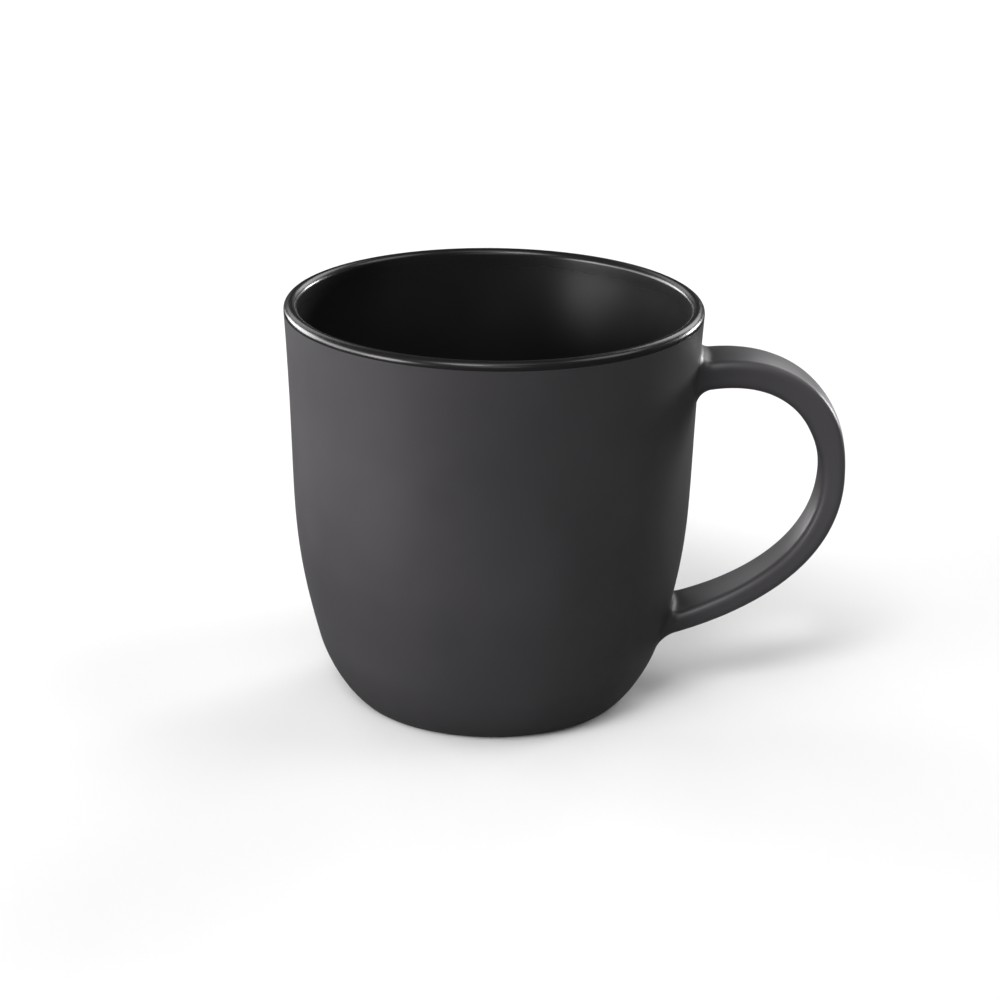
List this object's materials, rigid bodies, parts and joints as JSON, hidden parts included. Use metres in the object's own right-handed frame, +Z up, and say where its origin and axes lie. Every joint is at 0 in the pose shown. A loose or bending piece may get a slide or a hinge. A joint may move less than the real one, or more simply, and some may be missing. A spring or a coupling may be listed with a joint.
{
  "type": "mug",
  "caption": "Stoneware mug with a gently flared cup, a curved-in foot, a D-shaped strap handle, a black gloss liner over the rim and a matte charcoal outside.",
  "frame": {"origin": "on the cup's axis at the table plane, in the middle of the foot ring", "axes": "+Z up along the cup's axis, +X out through the handle, +Y to the left of the handle seen from above with the handle pointing right"},
  "size_m": [0.125, 0.0924, 0.0912],
  "materials": {
    "stoneware_clay": "bare fired dark stoneware, slightly gritty",
    "stoneware_slip": "fired dark slip, smoothed by hand",
    "black_gloss_glaze": "glossy near-black glaze",
    "charcoal_matte_glaze": "satin-matte charcoal glaze"
  },
  "bodies": {
    "root": {"cup_body": "stoneware_clay", "handle": "stoneware_clay", "upper_handle_joint": "stoneware_slip", "lower_handle_joint": "stoneware_slip", "liner_glaze": "black_gloss_glaze", "outer_glaze": "charcoal_matte_glaze", "handle_glaze": "charcoal_matte_glaze", "base_glaze": "charcoal_matte_glaze"}
  },
  "joints": []
}
